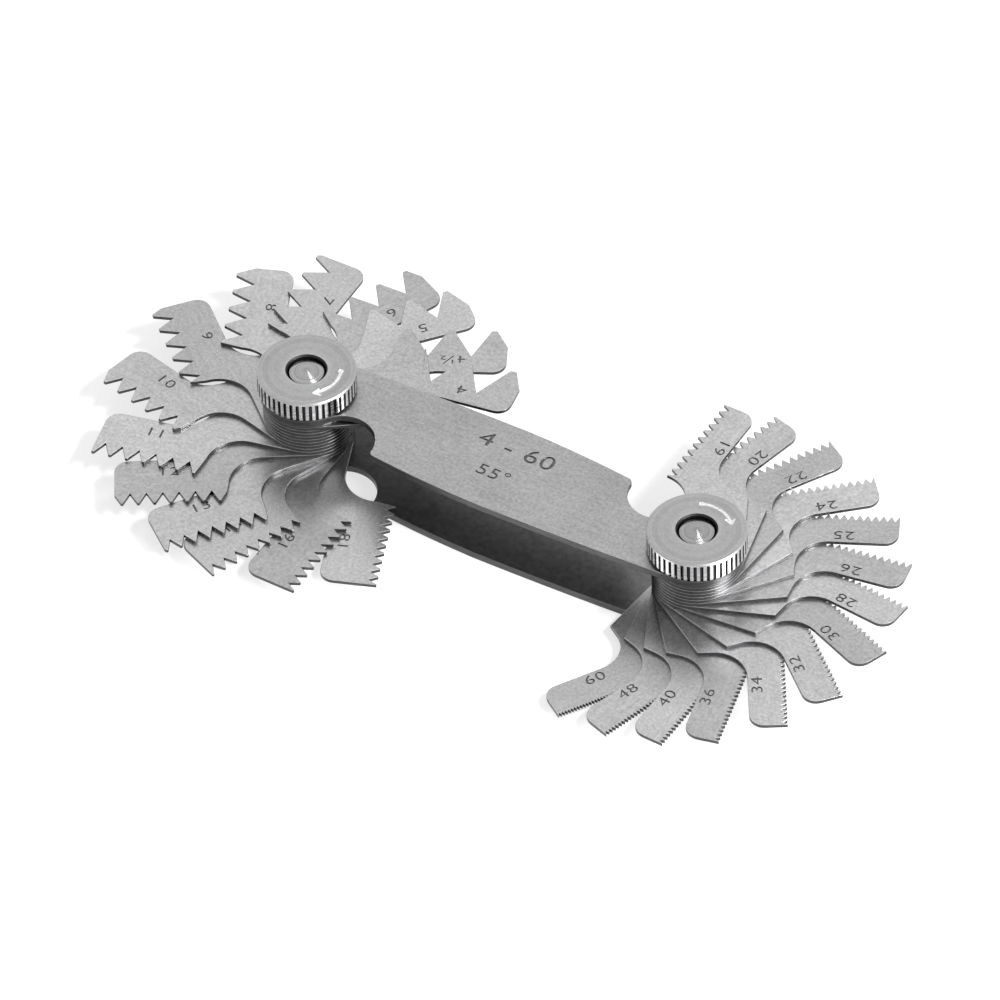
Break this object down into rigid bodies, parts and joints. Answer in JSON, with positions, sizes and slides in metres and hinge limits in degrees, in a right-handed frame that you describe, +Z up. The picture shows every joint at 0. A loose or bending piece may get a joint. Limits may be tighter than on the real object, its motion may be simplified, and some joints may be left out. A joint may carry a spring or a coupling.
{
  "type": "thread pitch gauge",
  "caption": "Flat two-plate case with toothed leaves fanning out from a clamping pivot at each end; leaves fold between the plates.",
  "frame": {"origin": "centre of the flat underside of the case, midway between the two pivots", "axes": "+X from the left pivot to the right pivot, along the case; +Z up through the stack, lock nuts on top"},
  "size_m": [0.1134, 0.0563, 0.0137],
  "materials": {
    "case_steel": "satin chrome",
    "leaf_steel": "fine ground steel",
    "nut_steel": "satin chrome, straight flutes",
    "pivot_steel": "turned steel"
  },
  "bodies": {
    "case": {"bottom_plate": "case_steel", "top_plate": "case_steel", "left_pivot_stud": "pivot_steel", "right_pivot_stud": "pivot_steel", "left_spacer_washer": "pivot_steel", "right_spacer_washer": "pivot_steel"},
    "left_leaf_4_tpi": {"left_leaf_4_tpi": "leaf_steel"},
    "left_leaf_4_5_tpi": {"left_leaf_4_5_tpi": "leaf_steel"},
    "left_leaf_5_tpi": {"left_leaf_5_tpi": "leaf_steel"},
    "left_leaf_6_tpi": {"left_leaf_6_tpi": "leaf_steel"},
    "left_leaf_7_tpi": {"left_leaf_7_tpi": "leaf_steel"},
    "left_leaf_8_tpi": {"left_leaf_8_tpi": "leaf_steel"},
    "left_leaf_9_tpi": {"left_leaf_9_tpi": "leaf_steel"},
    "left_leaf_10_tpi": {"left_leaf_10_tpi": "leaf_steel"},
    "left_leaf_11_tpi": {"left_leaf_11_tpi": "leaf_steel"},
    "left_leaf_12_tpi": {"left_leaf_12_tpi": "leaf_steel"},
    "left_leaf_13_tpi": {"left_leaf_13_tpi": "leaf_steel"},
    "left_leaf_14_tpi": {"left_leaf_14_tpi": "leaf_steel"},
    "left_leaf_16_tpi": {"left_leaf_16_tpi": "leaf_steel"},
    "left_leaf_18_tpi": {"left_leaf_18_tpi": "leaf_steel"},
    "left_lock_nut": {"left_lock_nut": "nut_steel"},
    "right_leaf_19_tpi": {"right_leaf_19_tpi": "leaf_steel"},
    "right_leaf_20_tpi": {"right_leaf_20_tpi": "leaf_steel"},
    "right_leaf_22_tpi": {"right_leaf_22_tpi": "leaf_steel"},
    "right_leaf_24_tpi": {"right_leaf_24_tpi": "leaf_steel"},
    "right_leaf_25_tpi": {"right_leaf_25_tpi": "leaf_steel"},
    "right_leaf_26_tpi": {"right_leaf_26_tpi": "leaf_steel"},
    "right_leaf_28_tpi": {"right_leaf_28_tpi": "leaf_steel"},
    "right_leaf_30_tpi": {"right_leaf_30_tpi": "leaf_steel"},
    "right_leaf_32_tpi": {"right_leaf_32_tpi": "leaf_steel"},
    "right_leaf_34_tpi": {"right_leaf_34_tpi": "leaf_steel"},
    "right_leaf_36_tpi": {"right_leaf_36_tpi": "leaf_steel"},
    "right_leaf_40_tpi": {"right_leaf_40_tpi": "leaf_steel"},
    "right_leaf_48_tpi": {"right_leaf_48_tpi": "leaf_steel"},
    "right_leaf_60_tpi": {"right_leaf_60_tpi": "leaf_steel"},
    "right_lock_nut": {"right_lock_nut": "nut_steel"}
  },
  "joints": [
    {"name": "left_leaf_4_swing", "type": "hinge", "parent": "case", "child": "left_leaf_4_tpi", "pos_m": [-0.0292, 0, 0], "axis": [0, 0, 1], "range_deg": [-37.5, 282.5]},
    {"name": "left_leaf_4_5_swing", "type": "hinge", "parent": "case", "child": "left_leaf_4_5_tpi", "pos_m": [-0.0292, 0, 0], "axis": [0, 0, 1], "range_deg": [-55.5, 264.5]},
    {"name": "left_leaf_5_swing", "type": "hinge", "parent": "case", "child": "left_leaf_5_tpi", "pos_m": [-0.0292, 0, 0], "axis": [0, 0, 1], "range_deg": [-77.5, 242.5]},
    {"name": "left_leaf_6_swing", "type": "hinge", "parent": "case", "child": "left_leaf_6_tpi", "pos_m": [-0.0292, 0, 0], "axis": [0, 0, 1], "range_deg": [-93, 227]},
    {"name": "left_leaf_7_swing", "type": "hinge", "parent": "case", "child": "left_leaf_7_tpi", "pos_m": [-0.0292, 0, 0], "axis": [0, 0, 1], "range_deg": [-119, 201]},
    {"name": "left_leaf_8_swing", "type": "hinge", "parent": "case", "child": "left_leaf_8_tpi", "pos_m": [-0.0292, 0, 0], "axis": [0, 0, 1], "range_deg": [-140.5, 179.5]},
    {"name": "left_leaf_9_swing", "type": "hinge", "parent": "case", "child": "left_leaf_9_tpi", "pos_m": [-0.0292, 0, 0], "axis": [0, 0, 1], "range_deg": [-168, 152]},
    {"name": "left_leaf_10_swing", "type": "hinge", "parent": "case", "child": "left_leaf_10_tpi", "pos_m": [-0.0292, 0, 0], "axis": [0, 0, 1], "range_deg": [-195, 125]},
    {"name": "left_leaf_11_swing", "type": "hinge", "parent": "case", "child": "left_leaf_11_tpi", "pos_m": [-0.0292, 0, 0], "axis": [0, 0, 1], "range_deg": [-221, 99]},
    {"name": "left_leaf_12_swing", "type": "hinge", "parent": "case", "child": "left_leaf_12_tpi", "pos_m": [-0.0292, 0, 0], "axis": [0, 0, 1], "range_deg": [-240.5, 79.5]},
    {"name": "left_leaf_13_swing", "type": "hinge", "parent": "case", "child": "left_leaf_13_tpi", "pos_m": [-0.0292, 0, 0], "axis": [0, 0, 1], "range_deg": [-261.5, 58.5]},
    {"name": "left_leaf_14_swing", "type": "hinge", "parent": "case", "child": "left_leaf_14_tpi", "pos_m": [-0.0292, 0, 0], "axis": [0, 0, 1], "range_deg": [-276, 44]},
    {"name": "left_leaf_16_swing", "type": "hinge", "parent": "case", "child": "left_leaf_16_tpi", "pos_m": [-0.0292, 0, 0], "axis": [0, 0, 1], "range_deg": [-297.5, 22.5]},
    {"name": "left_leaf_18_swing", "type": "hinge", "parent": "case", "child": "left_leaf_18_tpi", "pos_m": [-0.0292, 0, 0], "axis": [0, 0, 1], "range_deg": [-319, 1]},
    {"name": "left_nut_turn", "type": "hinge", "parent": "case", "child": "left_lock_nut", "pos_m": [-0.0292, 0, 0], "axis": [0, 0, 1], "range_deg": [0, 180]},
    {"name": "right_leaf_19_swing", "type": "hinge", "parent": "case", "child": "right_leaf_19_tpi", "pos_m": [0.0292, 0, 0], "axis": [0, 0, 1], "range_deg": [-298, 22]},
    {"name": "right_leaf_20_swing", "type": "hinge", "parent": "case", "child": "right_leaf_20_tpi", "pos_m": [0.0292, 0, 0], "axis": [0, 0, 1], "range_deg": [-284, 36]},
    {"name": "right_leaf_22_swing", "type": "hinge", "parent": "case", "child": "right_leaf_22_tpi", "pos_m": [0.0292, 0, 0], "axis": [0, 0, 1], "range_deg": [-267, 53]},
    {"name": "right_leaf_24_swing", "type": "hinge", "parent": "case", "child": "right_leaf_24_tpi", "pos_m": [0.0292, 0, 0], "axis": [0, 0, 1], "range_deg": [-249.5, 70.5]},
    {"name": "right_leaf_25_swing", "type": "hinge", "parent": "case", "child": "right_leaf_25_tpi", "pos_m": [0.0292, 0, 0], "axis": [0, 0, 1], "range_deg": [-234, 86]},
    {"name": "right_leaf_26_swing", "type": "hinge", "parent": "case", "child": "right_leaf_26_tpi", "pos_m": [0.0292, 0, 0], "axis": [0, 0, 1], "range_deg": [-217.5, 102.5]},
    {"name": "right_leaf_28_swing", "type": "hinge", "parent": "case", "child": "right_leaf_28_tpi", "pos_m": [0.0292, 0, 0], "axis": [0, 0, 1], "range_deg": [-203, 117]},
    {"name": "right_leaf_30_swing", "type": "hinge", "parent": "case", "child": "right_leaf_30_tpi", "pos_m": [0.0292, 0, 0], "axis": [0, 0, 1], "range_deg": [-186.5, 133.5]},
    {"name": "right_leaf_32_swing", "type": "hinge", "parent": "case", "child": "right_leaf_32_tpi", "pos_m": [0.0292, 0, 0], "axis": [0, 0, 1], "range_deg": [-167.5, 152.5]},
    {"name": "right_leaf_34_swing", "type": "hinge", "parent": "case", "child": "right_leaf_34_tpi", "pos_m": [0.0292, 0, 0], "axis": [0, 0, 1], "range_deg": [-150, 170]},
    {"name": "right_leaf_36_swing", "type": "hinge", "parent": "case", "child": "right_leaf_36_tpi", "pos_m": [0.0292, 0, 0], "axis": [0, 0, 1], "range_deg": [-131, 189]},
    {"name": "right_leaf_40_swing", "type": "hinge", "parent": "case", "child": "right_leaf_40_tpi", "pos_m": [0.0292, 0, 0], "axis": [0, 0, 1], "range_deg": [-116, 204]},
    {"name": "right_leaf_48_swing", "type": "hinge", "parent": "case", "child": "right_leaf_48_tpi", "pos_m": [0.0292, 0, 0], "axis": [0, 0, 1], "range_deg": [-100.5, 219.5]},
    {"name": "right_leaf_60_swing", "type": "hinge", "parent": "case", "child": "right_leaf_60_tpi", "pos_m": [0.0292, 0, 0], "axis": [0, 0, 1], "range_deg": [-85.5, 234.5]},
    {"name": "right_nut_turn", "type": "hinge", "parent": "case", "child": "right_lock_nut", "pos_m": [0.0292, 0, 0], "axis": [0, 0, 1], "range_deg": [0, 180]}
  ]
}
